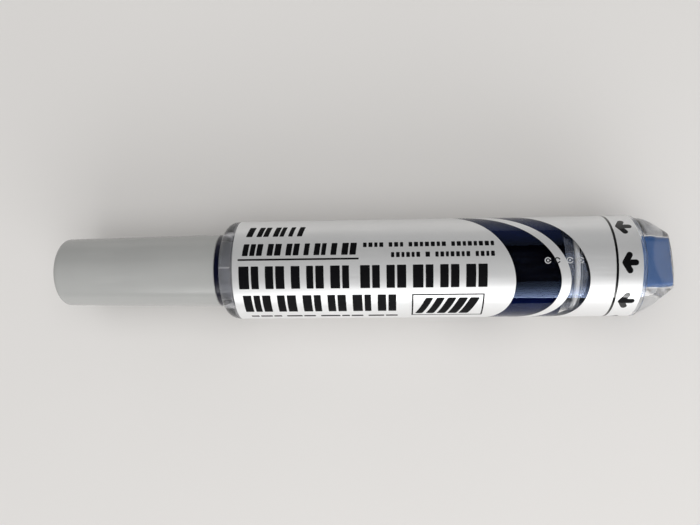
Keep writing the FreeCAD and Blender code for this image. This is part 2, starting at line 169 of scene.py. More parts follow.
cap_plastic = worn_plastic("cap_grey", (0.33, 0.333, 0.325), (0.38, 0.382, 0.375), 0.2,
                           IOR=1.5)
soft_seal = worn_plastic("cap_cup", (0.62, 0.62, 0.58), (0.7, 0.7, 0.66), 0.5)
navy_plastic = worn_plastic("navy_front", (0.0025, 0.003, 0.014), (0.005, 0.006, 0.024), 0.22)
white_plastic = worn_plastic("valve_white", (0.66, 0.67, 0.66), (0.74, 0.74, 0.73), 0.35)
pump_plastic = worn_plastic("pump_clear_grey", (0.80, 0.81, 0.82), (0.86, 0.87, 0.88), 0.3)
rubber = worn_plastic("ring_rubber", (0.012, 0.012, 0.013), (0.03, 0.03, 0.03), 0.6,
                      4000.0, 0.00001)


def fibre(name, base, soaked, grain):
    """Pressed lengthwise fibres, darker where they hold ink."""
    made = Material(name, Roughness=0.85)
    strands = made.noise(grain, 4.0, (0.06, 1, 1))
    wet = made.spread(made.noise(180.0, 3.0, (0.5, 1, 1)), 0.0, 1.0)
    made.colour(made.blend(wet, base, soaked))
    made.rough(made.spread(strands, 0.7, 0.95))
    made.bump(strands, 0.00003)
    return made.material


nib_fibre = fibre("nib_felt", (0.012, 0.018, 0.09), (0.004, 0.006, 0.035), 5200.0)
wick_fibre = fibre("wick_felt", (0.02, 0.028, 0.11), (0.006, 0.009, 0.05), 3600.0)


def drawn_steel():
    """Spring wire, with fine lengthwise drawing marks."""
    made = Material("spring_steel", Metallic=1.0)
    draw = made.noise(5200.0, 3.0, (0.2, 1, 1))
    made.colour(made.blend(draw, (0.56, 0.56, 0.57), (0.44, 0.43, 0.42)))
    made.rough(made.spread(draw, 0.2, 0.38))
    made.bump(draw, 0.000004)
    return made.material


def clear_plastic():
    """Clear moulded plastic, with handling scratches and a little flow waviness."""
    made = Material("barrel_clear", IOR=1.49, Transmission_Weight=1.0,
                    Specular_Tint=(0.42, 0.58, 1.0, 1))
    tint = made.spread(made.noise(90.0), 0.0, 1.0)
    made.colour(made.blend(tint, (0.97, 0.975, 0.98), (0.93, 0.94, 0.95)))
    made.rough(made.spread(made.noise(900.0, 5.0, (0.3, 1, 1)), 0.02, 0.12, 0.45, 0.8))
    made.bump(made.noise(240.0, 2.0, (0.4, 1, 1)), 0.000012)
    made.bump(made.noise(5000.0, 3.0, (0.04, 1, 1)), 0.0000015)
    return made.material


def frosted_plastic():
    """Clear plastic where its mould was left matt, with a grey haze in it. Like the knob's, it
    bends light little, so that what lies inside isn't enlarged."""
    made = Material("barrel_frosted", IOR=1.12, Transmission_Weight=0.94, Coat_Weight=0.5,
                    Coat_Roughness=0.1)
    haze = made.spread(made.noise(1400.0, 3.0), 0.0, 1.0)
    made.colour(made.blend(haze, (0.66, 0.67, 0.70), (0.62, 0.63, 0.66)))
    made.rough(made.spread(made.noise(1800.0, 3.0), 0.1, 0.18))
    made.bump(made.noise(5200.0, 2.0), 0.000002)
    return made.material


# Between these distances across from the axis the ink turns from near black to navy: painted light
# on its sides.
INK_PAINTED_LIGHT = (4.2, 6.4)


def liquid_ink():
    """Ink that is nearly black in its middle, with painted light on its sides: its colour turns
    navy between two distances across from the axis, as if lit from the side."""
    made = Material("ink_navy", IOR=1.36, Specular_IOR_Level=0.02)
    cloud = made.spread(made.noise(130.0, 3.0), 0.0, 1.0)
    split = made.node("ShaderNodeSeparateXYZ")
    made.link(made.place(), split.inputs["Vector"])
    across = made.node("ShaderNodeMath", operation="ABSOLUTE")
    made.link(split.outputs["Y"], across.inputs[0])
    beside = made.spread(across.outputs["Value"], 0.0, 1.0, *(at * MM for at in INK_PAINTED_LIGHT))
    ink_dark_middle = made.blend(cloud, (0.0002, 0.0003, 0.0018), (0.0003, 0.0005, 0.003))
    # Navy for the ink's sides: painted light.
    painted_side_light = made.blend(cloud, (0.0010, 0.0045, 0.040), (0.0016, 0.0065, 0.055))
    made.colour(made.blend(beside, ink_dark_middle, painted_side_light))
    made.rough(made.spread(made.noise(600.0), 0.25, 0.4))
    made.bump(made.noise(300.0), 0.00001)
    return made.material


def silver_print():
    """Satin silver ink under a clear film: fine metallic flake, and scuffs along the barrel."""
    made = Material("label_silver", Metallic=0.58)
    flake = made.noise(14000.0, 2.0)
    drift = made.spread(made.noise(45.0, 3.0, (0.5, 1, 1)), 0.0, 1.0)
    base = made.blend(drift, (0.79, 0.795, 0.80), (0.745, 0.745, 0.745))
    sparkle = made.spread(flake, 0.0, 0.3, 0.5, 0.75)
    made.colour(made.blend(sparkle, base, (0.92, 0.92, 0.92)))
    made.rough(made.spread(made.noise(1500.0, 4.0, (0.1, 1, 1)), 0.34, 0.46))
    made.bump(made.noise(7000.0, 3.0, (0.08, 1, 1)), 0.0000012)
    made.bump(made.noise(160.0, 2.0, (0.5, 1, 1)), 0.000006)
    return made.material


def black_print(name, **values):
    """Black printing ink, with faint specks."""
    made = Material(name, **values)
    speck = made.spread(made.noise(5200.0, 3.0), 0.0, 1.0)
    made.colour(made.blend(speck, (0.002, 0.002, 0.0025), (0.005, 0.005, 0.006)))
    made.rough(made.spread(made.noise(1800.0, 3.0), 0.38, 0.55))
    made.bump(made.noise(9000.0, 2.0), 0.000002)
    return made.material


def knob_shell():
    """Clear plastic with a very slight haze, for the knob's outside."""
    made = Material("knob_clear", IOR=1.12, Transmission_Weight=1.0, Coat_Weight=0.5,
                    Coat_Roughness=0.06)
    drift = made.spread(made.noise(140.0), 0.0, 1.0)
    made.colour(made.blend(drift, (0.99, 0.995, 1.0), (0.96, 0.97, 0.985)))
    made.rough(made.spread(made.noise(800.0, 4.0), 0.14, 0.24))
    made.bump(made.noise(350.0, 2.0), 0.000004)
    return made.material


INK_STAIN = (0.045, 0.05, 0.075)
BAND_EDGE = 0.08
PLUG_CLEAN = ((102.15, 103.4),)
FLANGE_CLEAN = ((105.0, 120.0),)


def clear_plug(name, bands):
    """Hazy clear plastic, stained by ink outside the bands between pairs of stations."""
    made = Material(name, IOR=1.49, Transmission_Weight=0.45)
    tint = made.spread(made.noise(90.0), 0.0, 1.0)
    clean = made.blend(tint, (0.9, 0.91, 0.93), (0.82, 0.84, 0.88))
    split = made.node("ShaderNodeSeparateXYZ")
    made.link(made.place(), split.inputs["Vector"])
    shade = INK_STAIN
    for start, finish in bands:
        for station, after in ((start, clean), (finish, INK_STAIN)):
            x = CAP_END + station * MM
            edge = made.spread(split.outputs["X"], 0.0, 1.0, x, x + BAND_EDGE * MM)
            shade = made.blend(edge, shade, after)
    made.colour(shade)
    made.rough(made.spread(made.noise(900.0, 5.0), 0.1, 0.3))
    made.bump(made.noise(4000.0, 3.0), 0.000003)
    return made.material


plug_clear = clear_plug("plug_clear", PLUG_CLEAN)
flange_clear = clear_plug("flange_clear", FLANGE_CLEAN)
seal_pale = worn_plastic("seal_pale", (0.66, 0.67, 0.7), (0.74, 0.75, 0.77), 0.4)
rib_plastic = worn_plastic("rib_pale", (0.78, 0.74, 0.72), (0.84, 0.81, 0.79), 0.35)
step_matt = worn_plastic("step_matt", (0.42, 0.42, 0.44), (0.48, 0.48, 0.5), 0.5)
pump_blue = worn_plastic("pump_blue", (0.022, 0.085, 0.245), (0.03, 0.1, 0.27), 0.4,
                         Specular_IOR_Level=0.1)
# A lighter copy of the front section's navy for its spigot inside the clear shoulder: painted
# light.
spigot_navy_painted_light = worn_plastic("navy_spigot_painted_light", (0.045, 0.055, 0.08), (0.055, 0.067, 0.095), 0.4)
spring_steel = drawn_steel()
barrel_clear = clear_plastic()
barrel_frosted = frosted_plastic()
ink_navy = liquid_ink()
label_silver = silver_print()
print_black = black_print("print_black", Specular_IOR_Level=0.07)
print_gloss = black_print("print_gloss", Specular_IOR_Level=0.07, Coat_Weight=1.0,
                          Coat_Roughness=0.06)
print_grey = worn_plastic("print_grey", (0.42, 0.43, 0.45), (0.5, 0.51, 0.52), 0.45)
knob_clear = knob_shell()


def dress_part(thing, material, start, finish):
    """Give the faces between two stations a further material."""
    thing.data.materials.append(material)
    for face in thing.data.polygons:
        if start < station_of(face.center.x) < finish:
            face.material_index = len(thing.data.materials) - 1


def dress(thing, material):
    """Give an object one material."""
    thing.data.materials.clear()
    thing.data.materials.append(material)


# ---- Mesh making --------------------------------------------------------------------------------


def rounded(outline, steps=6, lead_share=0.3):
    """The points of a closed outline of (station, radius, corner size) with its corners rounded.
    Each rounding is led in and out by a short straight, so that the long faces shade evenly."""
    points = []
    for i, (station, radius, size) in enumerate(outline):
        here = np.array((station, radius), float)
        if size == 0:
            points.append(here)
            continue
        back = np.array(outline[i - 1][:2], float) - here
        ahead = np.array(outline[(i + 1) % len(outline)][:2], float) - here
        back_length = np.linalg.norm(back)
        ahead_length = np.linalg.norm(ahead)
        back /= back_length
        ahead /= ahead_length
        half = math.acos(np.clip(back @ ahead, -1, 1)) / 2
        reach = size / math.tan(half)
        middle = (back + ahead) / np.linalg.norm(back + ahead)
        centre = here + middle * size / math.sin(half)
        start = here + back * reach - centre
        finish = here + ahead * reach - centre
        turn_by = math.pi - 2 * half
        if start[0] * finish[1] - start[1] * finish[0] < 0:
            turn_by = -turn_by
        lead = lead_share * size
        if reach + lead < back_length:
            points.append(here + back * (reach + lead))
        for k in range(steps + 1):
            angle = turn_by * k / steps
            c, s = math.cos(angle), math.sin(angle)
            points.append(centre + (c * start[0] - s * start[1], s * start[0] + c * start[1]))
        if reach + lead < ahead_length:
            points.append(here + ahead * (reach + lead))
    return points


def to_frame(station, across, up):
    """A point from a station and its offsets from the axis, in millimetres, to the row frame."""
    return (CAP_END + station * MM, across * MM, AXIS_Z + up * MM)


def ring_mesh(name, rings):
    """A surface through rings of points. A ring of one point closes an end."""
    points = []
    spans = []
    for ring in rings:
        spans.append((len(points), len(ring)))
        points.extend(ring)
    faces = []
    for (first, count), (second, following) in zip(spans, spans[1:] + spans[:1]):
        around = max(count, following)
        if around == 1:
            continue
        for k in range(around):
            after = (k + 1) % around
            if count == 1:
                faces.append((first, second + after, second + k))
            elif following == 1:
                faces.append((first + k, first + after, second))
            else:
                faces.append((first + k, first + after, second + after, second + k))
    return finish_mesh(name, points, faces)


def finish_mesh(name, points, faces):
    """An object from points and faces, its normals facing outwards."""
    draft = bpy.data.meshes.new(name)
    draft.from_pydata(points, [], faces)
    work = bmesh.new()
    work.from_mesh(draft)
    bpy.data.meshes.remove(draft)
    bmesh.ops.recalc_face_normals(work, faces=work.faces)
    return object_from(work, name)


def object_from(work, name):
    """An object from a finished bmesh, smooth but for its sharp edges."""
    mesh = bpy.data.meshes.new(name)
    work.to_mesh(mesh)
    work.free()
    mesh.shade_smooth()
    mesh.set_sharp_from_angle(angle=SHARP_ANGLE)
    thing = bpy.data.objects.new(name, mesh)
    bpy.context.scene.collection.objects.link(thing)
    return thing


def circle(station, radius, segments=SEGMENTS):
    """A ring of points round the axis, or its one point on the axis."""
    if radius < 1e-6:
        return [to_frame(station, 0, 0)]
    turns = [2 * math.pi * k / segments for k in range(segments)]
    return [to_frame(station, radius * math.sin(a), radius * math.cos(a)) for a in turns]


def turned(name, outline, segments=SEGMENTS):
    """A round piece from the outline of one half of its section."""
    return ring_mesh(name, [circle(s, r, segments) for s, r in rounded(outline)])


def settle(thing, body, material, slot, *replaced):
    """Dress a new piece, hang it on its body, and hide the CAD nodes it stands for."""
    dress(thing, material)
    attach(thing, body)
    if replaced:
        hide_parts(*replaced)
    return thing


# ---- Cap ----------------------------------------------------------------------------------------

CAP_END_RADIUS = 6.93
CAP_RIM_RADIUS = 7.41
CAP_BORE = 6.4
CAP_INNER_BORE = 5.6
CAP_BORE_STEP = (18.0, 18.6)
CAP_FLOOR = 1.3
CAP_DIMPLE = 0.12
CAP_LENGTH = high("cap_shell")

cap = turned("cap_outer", [
    (CAP_DIMPLE, 0, 0),
    (CAP_DIMPLE, 1.1, 0.05),
    (0.0, 1.25, 0.05),
    (0.0, CAP_END_RADIUS, 0.9),
    (CAP_LENGTH, CAP_RIM_RADIUS, 0.22),
    (CAP_LENGTH, CAP_BORE, 0.15),
    (CAP_BORE_STEP[1], CAP_BORE, 0.3),
    (CAP_BORE_STEP[0], CAP_INNER_BORE, 0.3),
    (CAP_FLOOR, CAP_INNER_BORE, 0.2),
    (CAP_FLOOR, 0, 0),
])
settle(cap, "cap", cap_plastic, "cap_plastic", "cap_shell")

# ---- Front section and nib ----------------------------------------------------------------------

NOSE_FRONT = low("front_section")
NOSE_RADIUS = 3.7
NIB_BORE = 2.25
NECK_RADIUS = 6.3
CONE = (16.0, 20.0)
RING_GROOVE = (23.2, 24.0)
GROOVE_RADIUS = 5.7
FLANGE_RADIUS = 7.32
FLANGE_FRONT = CAP_LENGTH
FLANGE_REAR = low("barrel")
SPIGOT_REAR = high("front_section")
SPIGOT_RADIUS = 5.2
FEED_BORE = 4.4
FEED_FRONT = 19.0

front = turned("front_grip", [
    (NOSE_FRONT, NIB_BORE, 0.12),
    (NOSE_FRONT, NOSE_RADIUS, 0.45),
    (CONE[0], NOSE_RADIUS, 0.5),
    (CONE[1], NECK_RADIUS, 0.6),
    (RING_GROOVE[0], NECK_RADIUS, 0.06),
    (RING_GROOVE[0], GROOVE_RADIUS, 0.05),
    (RING_GROOVE[1], GROOVE_RADIUS, 0.05),
    (RING_GROOVE[1], NECK_RADIUS, 0.06),
    (FLANGE_FRONT, NECK_RADIUS, 0.1),
    (FLANGE_FRONT, FLANGE_RADIUS, 0.18),
    (FLANGE_REAR, FLANGE_RADIUS, 0.12),
    (FLANGE_REAR, SPIGOT_RADIUS, 0.05),
    (SPIGOT_REAR, SPIGOT_RADIUS, 0.2),
    (SPIGOT_REAR, FEED_BORE, 0.1),
    (FEED_FRONT, FEED_BORE, 0.1),
    (FEED_FRONT, NIB_BORE, 0.05),
])
settle(front, "barrel", navy_plastic, "navy_plastic", "front_section")
# The spigot takes the lighter copy of the navy: painted light.
dress_part(front, spigot_navy_painted_light, FLANGE_REAR + 0.01, SPIGOT_REAR)

NIB_RADIUS = 2.2
NIB_SHOULDER = 10.4
NIB_SEGMENTS = 96

nib = turned("nib_bullet", [
    (low("nib"), 0, 0),
    (low("nib"), 1.05, 0.95),
    (NIB_SHOULDER, NIB_RADIUS, 1.2),
    (high("nib"), NIB_RADIUS, 0.1),
    (high("nib"), 0, 0),
], NIB_SEGMENTS)
settle(nib, "barrel", nib_fibre, "nib_fibre", "nib")

# ---- CAD pieces that keep their shape -----------------------------------------------------------

for material, kept in (
    (rubber, ("cap_grip_ring", "front_seal", "piston_seal")),
    (white_plastic, ("ink_collector", "valve_housing", "valve_stem", "valve_guide",
                     "check_valve")),
    (soft_seal, ("cap_inner_seal", "valve_seat")),
    (wick_fibre, ("relay_wick",)),
    (seal_pale, ("bulkhead_seal",)),
    (plug_clear, ("chamber_bulkhead",)),
    (flange_clear, ("pump_cylinder",)),
    (pump_plastic, ("stop_ring",)),
    (pump_blue, ("pump_piston",)),
):
    for node in kept:
        dress(nodes[node], material)

# ---- Barrel and ink -----------------------------------------------------------------------------

BARREL_FRONT = FLANGE_REAR
BARREL_REAR = high("barrel")
LABEL_FRONT = low("label_film")
LABEL_REAR = high("label_film")
SHOULDER_ROUND = 2.8
POCKET_INNER = 5.8
POCKET_OUTER = 7.0
POCKET_FLOOR = 36.2
CHAMBER_FRONT = 36.9
BARREL_BORE = 8.8
SLEEVE_RADIUS = 7.0
SLEEVE_REAR = 40.0
PUMP_SOCKET = 106.5
PUMP_BORE = 9.56
FIT_GAP = 0.03
STEP_FACES = (36.85, 37.15)

barrel = turned("barrel_clear", [
    (BARREL_FRONT, SPIGOT_RADIUS + FIT_GAP, 0.05),
    (BARREL_FRONT, POCKET_INNER, 0.1),
    (POCKET_FLOOR, POCKET_INNER, 0.25),
    (POCKET_FLOOR, POCKET_OUTER, 0.25),
    (BARREL_FRONT, POCKET_OUTER, 0.05),
    (BARREL_FRONT, BARREL_RADIUS, SHOULDER_ROUND),
    (BARREL_REAR, BARREL_RADIUS, 0.15),
    (BARREL_REAR, PUMP_BORE, 0.12),
    (PUMP_SOCKET, PUMP_BORE, 0.2),
    (PUMP_SOCKET, BARREL_BORE + FIT_GAP, 0.1),
    (CHAMBER_FRONT, BARREL_BORE + FIT_GAP, 0.3),
    (CHAMBER_FRONT, SLEEVE_RADIUS, 0.2),
    (SLEEVE_REAR, SLEEVE_RADIUS, 0.2),
    (SLEEVE_REAR, SPIGOT_RADIUS + FIT_GAP, 0.1),
], BARREL_SEGMENTS)
settle(barrel, "barrel", barrel_clear, "clear_plastic", "barrel")
dress_part(barrel, barrel_frosted, BARREL_FRONT - 0.1, LABEL_FRONT)
dress_part(barrel, step_matt, *STEP_FACES)

INK_IN_WALL = 0.05
INK_FRONT = low("ink_charge") - INK_IN_WALL
INK_REAR = high("ink_charge")
CHECK_VALVE_HOLLOW = (3.2, 1.1)
FEED_HOLLOW = (46.45, 4.4)
SPIGOT_HOLLOW = (41.05, 5.25)
SLEEVE_HOLLOW = SLEEVE_REAR + 0.05

ink = turned("ink_fill", [
    (INK_FRONT, SLEEVE_RADIUS - INK_IN_WALL, 0),
    (INK_FRONT, BARREL_BORE + INK_IN_WALL, 0.3),
    (INK_REAR, BARREL_BORE + INK_IN_WALL, 0.1),
    (INK_REAR, CHECK_VALVE_HOLLOW[0], 0),
    (INK_REAR - CHECK_VALVE_HOLLOW[1], CHECK_VALVE_HOLLOW[0], 0),
    (INK_REAR - CHECK_VALVE_HOLLOW[1], 0, 0),
    (FEED_HOLLOW[0], 0, 0),
    (*FEED_HOLLOW, 0),
    (SPIGOT_HOLLOW[0], FEED_HOLLOW[1], 0),
    (*SPIGOT_HOLLOW, 0),
    (SLEEVE_HOLLOW, SPIGOT_HOLLOW[1], 0),
    (SLEEVE_HOLLOW, SLEEVE_RADIUS - INK_IN_WALL, 0),
], BARREL_SEGMENTS)
settle(ink, "barrel", ink_navy, "ink", "ink_charge")

# ---- Silver label with its two crescent windows -------------------------------------------------

PRINT_SKIN = 0.012
EVEN_COLUMNS = 288
TIP_COLUMNS = 24
BAND_STEPS = (7, 2, 5)
WINDOW_TURN = 3.2
WINDOW_REACH = 22.0
TIP_POWER = 6
WINDOWS = (
    {"station": 95.26, "sweep": 0.0448, "width": 8.40, "taper": -0.016},
    {"station": 102.96, "sweep": 0.0436, "width": 3.46, "taper": 0.010},
)


def window_edges(window, arc):
    """The stations of a window's two edges at an arc from the middle of the windows."""
    middle = window["station"] - window["sweep"] * arc * arc
    if abs(arc) >= WINDOW_REACH:
        return middle, middle
    close = math.sqrt(1 - (abs(arc) / WINDOW_REACH) ** TIP_POWER)
    half = (window["width"] + window["taper"] * arc * arc) * close / 2
    return middle - half, middle + half


def label_columns():
    """Arcs all round the barrel, closer together towards the windows' tips."""
    girth = 2 * math.pi * BARREL_RADIUS
    even = [girth * (k / EVEN_COLUMNS - 0.5) for k in range(EVEN_COLUMNS)]
    tips = [WINDOW_REACH * (1 - (k / 2 / TIP_COLUMNS) ** 2) for k in range(TIP_COLUMNS)]
    arcs = even + tips + [-arc for arc in tips]
    return sorted({round(arc, 3) for arc in arcs})


def label_mesh():
    """A thin sleeve in three bands: ahead of, between and behind the windows. Beyond the windows'
    tips the bands meet, with no wall between them."""
    columns = label_columns()
    work = bmesh.new()
    grid = []
    for arc in columns:
        a, b = window_edges(WINDOWS[0], arc)
        c, d = window_edges(WINDOWS[1], arc)
        edges = ((LABEL_FRONT, a), (b, c), (d, LABEL_REAR))
        column = [
            [start + (finish - start) * k / count for k in range(count + 1)]
            for count, (start, finish) in zip(BAND_STEPS, edges)
        ]
        angle = (arc - WINDOW_TURN) / BARREL_RADIUS
        grid.append((math.sin(angle), math.cos(angle), column))
    layers = []
    for radius in (BARREL_RADIUS - PRINT_SKIN, BARREL_RADIUS + PRINT_SKIN):
        layers.append([
            [[work.verts.new(to_frame(s, radius * y, radius * z)) for s in band]
             for band in column]
            for y, z, column in grid
        ])
    for layer in layers:
        for i in range(len(columns)):
            here, beside = layer[i], layer[(i + 1) % len(columns)]
            for p, q in zip(here, beside):
                for k in range(len(p) - 1):
                    work.faces.new((p[k], p[k + 1], q[k + 1], q[k]))
    inner, outer = layers
    rims = ((0, 0), (len(BAND_STEPS) - 1, -1))
    for i in range(len(columns)):
        j = (i + 1) % len(columns)
        closed = min(abs(columns[i]), abs(columns[j])) >= WINDOW_REACH
        for band in range(len(BAND_STEPS)):
            for end in (0, -1):
                if closed and (band, end) not in rims:
                    continue
                work.faces.new((inner[i][band][end], inner[j][band][end],
                                outer[j][band][end], outer[i][band][end]))
    bmesh.ops.remove_doubles(work, verts=work.verts, dist=0.0000005)
    slivers = [f for f in work.faces if f.calc_area() < 1e-14]
    bmesh.ops.delete(work, geom=slivers, context="FACES_ONLY")
    bmesh.ops.recalc_face_normals(work, faces=work.faces)
    return work


label = object_from(label_mesh(), "label_silver")
settle(label, "barrel", label_silver, "label_print", "label_film")

# ---- Printed marks: flat shapes laid round the barrel -------------------------------------------

PRINT_LOW = BARREL_RADIUS - PRINT_SKIN
PRINT_HIGH = BARREL_RADIUS + 2 * PRINT_SKIN
ARC_STEP = 0.35


def slug(station, finish, arc, top, corner=0.12, lean=0.0):
    """A rounded bar between two stations and two arcs. lean shifts its top edge along."""
    corner = min(corner, (finish - station) / 2.01, abs(top - arc) / 2.01)
    points = []
    centres = (
        (finish - corner, top - corner, 0),
        (station + corner, top - corner, 90),
        (station + corner, arc + corner, 180),
        (finish - corner, arc + corner, 270),
    )
    for x, y, first in centres:
        for k in range(5):
            angle = math.radians(first + 22.5 * k)
            at = (x + corner * math.cos(angle), y + corner * math.sin(angle))
            points.append((at[0] + lean * (at[1] - arc), at[1]))
    return points


def stroke(start, finish, half, steps=10):
    """A line with round ends."""
    along = math.atan2(finish[1] - start[1], finish[0] - start[0])
    points = []
    for centre, first in ((finish, -90), (start, 90)):
        for k in range(steps + 1):
            angle = along + math.radians(first + 180 * k / steps)
            points.append((centre[0] + half * math.cos(angle), centre[1] + half * math.sin(angle)))
    return points


def wrap(name, shapes, inner=PRINT_LOW, outer=PRINT_HIGH):
    """Lay flat shapes of (station, arc) points round the marker, between two radii. The arcs are
    those of a cylinder halfway between them."""
    middle = (inner + outer) / 2
    work = bmesh.new()
    for shape in shapes:
        work.faces.new([work.verts.new((x, y, 0)) for x, y in shape])
    arcs = [y for shape in shapes for _, y in shape]
    for k in range(math.ceil(min(arcs) / ARC_STEP), math.floor(max(arcs) / ARC_STEP) + 1):
        everything = work.verts[:] + work.edges[:] + work.faces[:]
        bmesh.ops.bisect_plane(work, geom=everything, plane_co=(0, k * ARC_STEP, 0),
                               plane_no=(0, 1, 0), dist=1e-5)
    flat = work.faces[:]
    raised = bmesh.ops.extrude_face_region(work, geom=flat, use_keep_orig=True)
    top = {v for v in raised["geom"] if isinstance(v, bmesh.types.BMVert)}
    for v in work.verts:
        radius = outer if v in top else inner
        angle = v.co.y / middle
        v.co = to_frame(v.co.x, radius * math.sin(angle), radius * math.cos(angle))
    bmesh.ops.recalc_face_normals(work, faces=work.faces)
    return object_from(work, name)


def row_of_blocks(start, finish, bottom, top, widths, gap, lean=0.0):
    """Plain blocks in a row, their widths in proportion, filling the space from start to finish.
    A width of 0 leaves a wider space."""
    spaces = sum(1 for w in widths if w == 0)
    solid = (finish - start) - gap * (len(widths) - 1 - 2 * spaces) - 3 * gap * spaces
    scale = solid / sum(widths)
    shapes = []
    x = start
    for w in widths:
        if w == 0:
            x += 2 * gap
            continue
        shapes.append(slug(x, x + w * scale, bottom, top, lean=lean))
        x += w * scale + gap
    return shapes


LARGE_GAP = 0.42
SMALL_GAP = 0.34

large = row_of_blocks(38.6, 85.8, -3.75, 0.7,
                      (1.5, 1.1, 0, 1.2, 1.3, 0, 1.3, 0, 1.0, 1.2, 0, 1.4, 1.0, 0, 0, 1.4, 1.1, 0,
                       1.2, 1.3, 0, 1.5, 1.1, 0, 1.2, 1.2, 0, 1.4, 1.3), LARGE_GAP)
large += row_of_blocks(39.1, 68.7, -9.7, -5.15,
                       (1.3, 1.0, 1.3, 0, 1.2, 1.4, 0, 1.4, 1.1, 0, 1.2, 1.3, 0, 1.5, 1.0, 0,
                        1.3, 1.2), LARGE_GAP)
settle(wrap("print_large_blocks", large), "barrel", print_black, "label_print")

title = row_of_blocks(39.6, 50.6, 7.0, 9.9, (0.7, 0, 0.6, 0.6, 0, 0.6, 0.5, 0, 0.5, 0, 0.6),
                      0.28, 0.18)
title += row_of_blocks(39.2, 61.1, 2.75, 5.25,
                       (0.9, 0.8, 0.9, 0, 0.9, 1.0, 0, 0.9, 0.9, 0, 0.8, 0, 0.9, 0.7, 0,
                        0.9, 0, 1.0, 1.0), 0.32, 0.1)
title.append(slug(38.4, 61.7, 1.8, 2.15, 0.16))
settle(wrap("print_title_blocks", title), "barrel", print_black, "label_print")

FOUR = (0.45, 0.5, 0.4, 0.5)
small = row_of_blocks(62.5, 87.2, 4.25, 5.25,
                      (*FOUR, 0, *FOUR[:3], 0, *FOUR, 0.5, 0.4, 0.5, 0, *FOUR, 0.4, 0.5, 0.5,
                       0.4), SMALL_GAP)
small += row_of_blocks(67.8, 87.2, 2.15, 3.15,
                       (*FOUR, 0.4, 0.5, 0, 0.6, 0, *FOUR, 0.5, 0.4, 0.5, 0, *FOUR), SMALL_GAP)
settle(wrap("print_small_blocks", small), "barrel", print_black, "label_print")

PANEL_FRONT, PANEL_REAR = 71.7, 85.4
PANEL_LINE = 0.28
STRIPE_PITCH = 2.1

panel = [slug(PANEL_FRONT, PANEL_REAR, arc, arc + PANEL_LINE) for arc in (-5.4, -11.68)]
panel += [slug(start, start + PANEL_LINE, -11.5, -5.2)
          for start in (PANEL_FRONT, PANEL_REAR - PANEL_LINE)]
panel += [slug(72.35 + STRIPE_PITCH * k, 73.75 + STRIPE_PITCH * k + 0.1 * k, -10.8, -6.0,
               0.25, 0.42)
          for k in range(5)]
settle(wrap("print_panel", panel), "barrel", print_black, "label_print")

ARROW_TIP = 110.9
ARROW_HALF = 0.56
ARROW_COUNT = 8
FIRST_ARROW = 3.3
ARROW_LINES = (
    ("print_arrow_shafts", 1.9, 0.0),
    ("print_arrow_heads", 0.85, -1.45),
    ("print_arrow_barbs", 0.85, 1.45),
)

arrow_arcs = []
for k in range(ARROW_COUNT):
    arc = (FIRST_ARROW + 360 / ARROW_COUNT * k) / 180 * math.pi * BARREL_RADIUS
    if arc > math.pi * BARREL_RADIUS:
        arc -= 2 * math.pi * BARREL_RADIUS
    arrow_arcs.append(arc)
for name, along, aside in ARROW_LINES:
    lines = [stroke((ARROW_TIP, arc), (ARROW_TIP + along, arc + aside), ARROW_HALF)
             for arc in arrow_arcs]
    settle(wrap(name, lines), "barrel", print_gloss, "label_print")

RING_FRONT, RING_REAR = 109.3, 109.75

band = turned("print_ring", [
    (RING_FRONT, PRINT_LOW, 0),
    (RING_FRONT, PRINT_HIGH, 0),
    (RING_REAR, PRINT_HIGH, 0),
    (RING_REAR, PRINT_LOW, 0),
], BARREL_SEGMENTS)
settle(band, "barrel", print_gloss, "label_print")

footer = row_of_blocks(39.8, 69.0, -12.1, -11.4, (2, 3, 2, 0, 4, 3, 0, 5, 2, 3, 0, 4, 3), 0.35)
settle(wrap("print_small_footer", footer), "barrel", print_black, "label_print")


def open_ring(station, arc, radius, half, gap=40, steps=30):
    """A plain ring with a narrow gap in it, gap degrees wide."""
    turns = [math.radians(gap / 2 + (360 - gap) * k / steps) for k in range(steps + 1)]
    outline = [(station + (radius + half) * math.cos(a), arc + (radius + half) * math.sin(a))
               for a in turns]
    outline += [(station + (radius - half) * math.cos(a), arc + (radius - half) * math.sin(a))
                for a in reversed(turns)]
    return outline


MARK_ARC = 1.15
DOT_HALF = 0.18
WINDOW_MARKS = (96.9, 100.9, 102.85)
LABEL_MARK = 98.6

over_windows = [open_ring(s, MARK_ARC, 0.52, 0.09) for s in WINDOW_MARKS]
over_windows += [slug(s - DOT_HALF, s + DOT_HALF, MARK_ARC - DOT_HALF, MARK_ARC + DOT_HALF, 0.15)
                 for s in WINDOW_MARKS]
settle(wrap("print_window_marks", over_windows), "barrel", print_grey, "label_print")
settle(wrap("print_label_mark", [open_ring(LABEL_MARK, MARK_ARC, 0.48, 0.11)]), "barrel",
       print_black, "label_print")

# ---- Ribs, and a pale ring painted as a highlight, in the shoulder's pocket ---------------------

RIB_HALF = 0.15
RIB_LOW = 5.79
RIB_HIGH = 6.0
RIB_REAR = 36.15
RIB_TURN = 0.09
RIB_LINE = 5.86
# A pale ring at the pocket's floor that stands for the highlight along its inner corner: painted
# highlight.
HIGHLIGHT_RING_FRONT, HIGHLIGHT_RING_REAR = 35.98, 36.16

ribs = []
for k in range(-2, 2):
    arc = (RIB_TURN + k * math.pi / 2) * RIB_LINE
    ribs.append(slug(BARREL_FRONT + 0.05, RIB_REAR, arc - RIB_HALF, arc + RIB_HALF, 0.05))
settle(wrap("shoulder_ribs", ribs, RIB_LOW, RIB_HIGH), "barrel", rib_plastic, "clear_plastic")
highlight_ring = turned("shoulder_highlight_ring", [
    (HIGHLIGHT_RING_FRONT, RIB_LOW, 0),
    (HIGHLIGHT_RING_FRONT, RIB_HIGH, 0),
    (HIGHLIGHT_RING_REAR, RIB_HIGH, 0),
    (HIGHLIGHT_RING_REAR, RIB_LOW, 0),
])
settle(highlight_ring, "barrel", rib_plastic, "clear_plastic")

# ---- Springs ------------------------------------------------------------------------------------


CLOSED_TURNS = 0.75


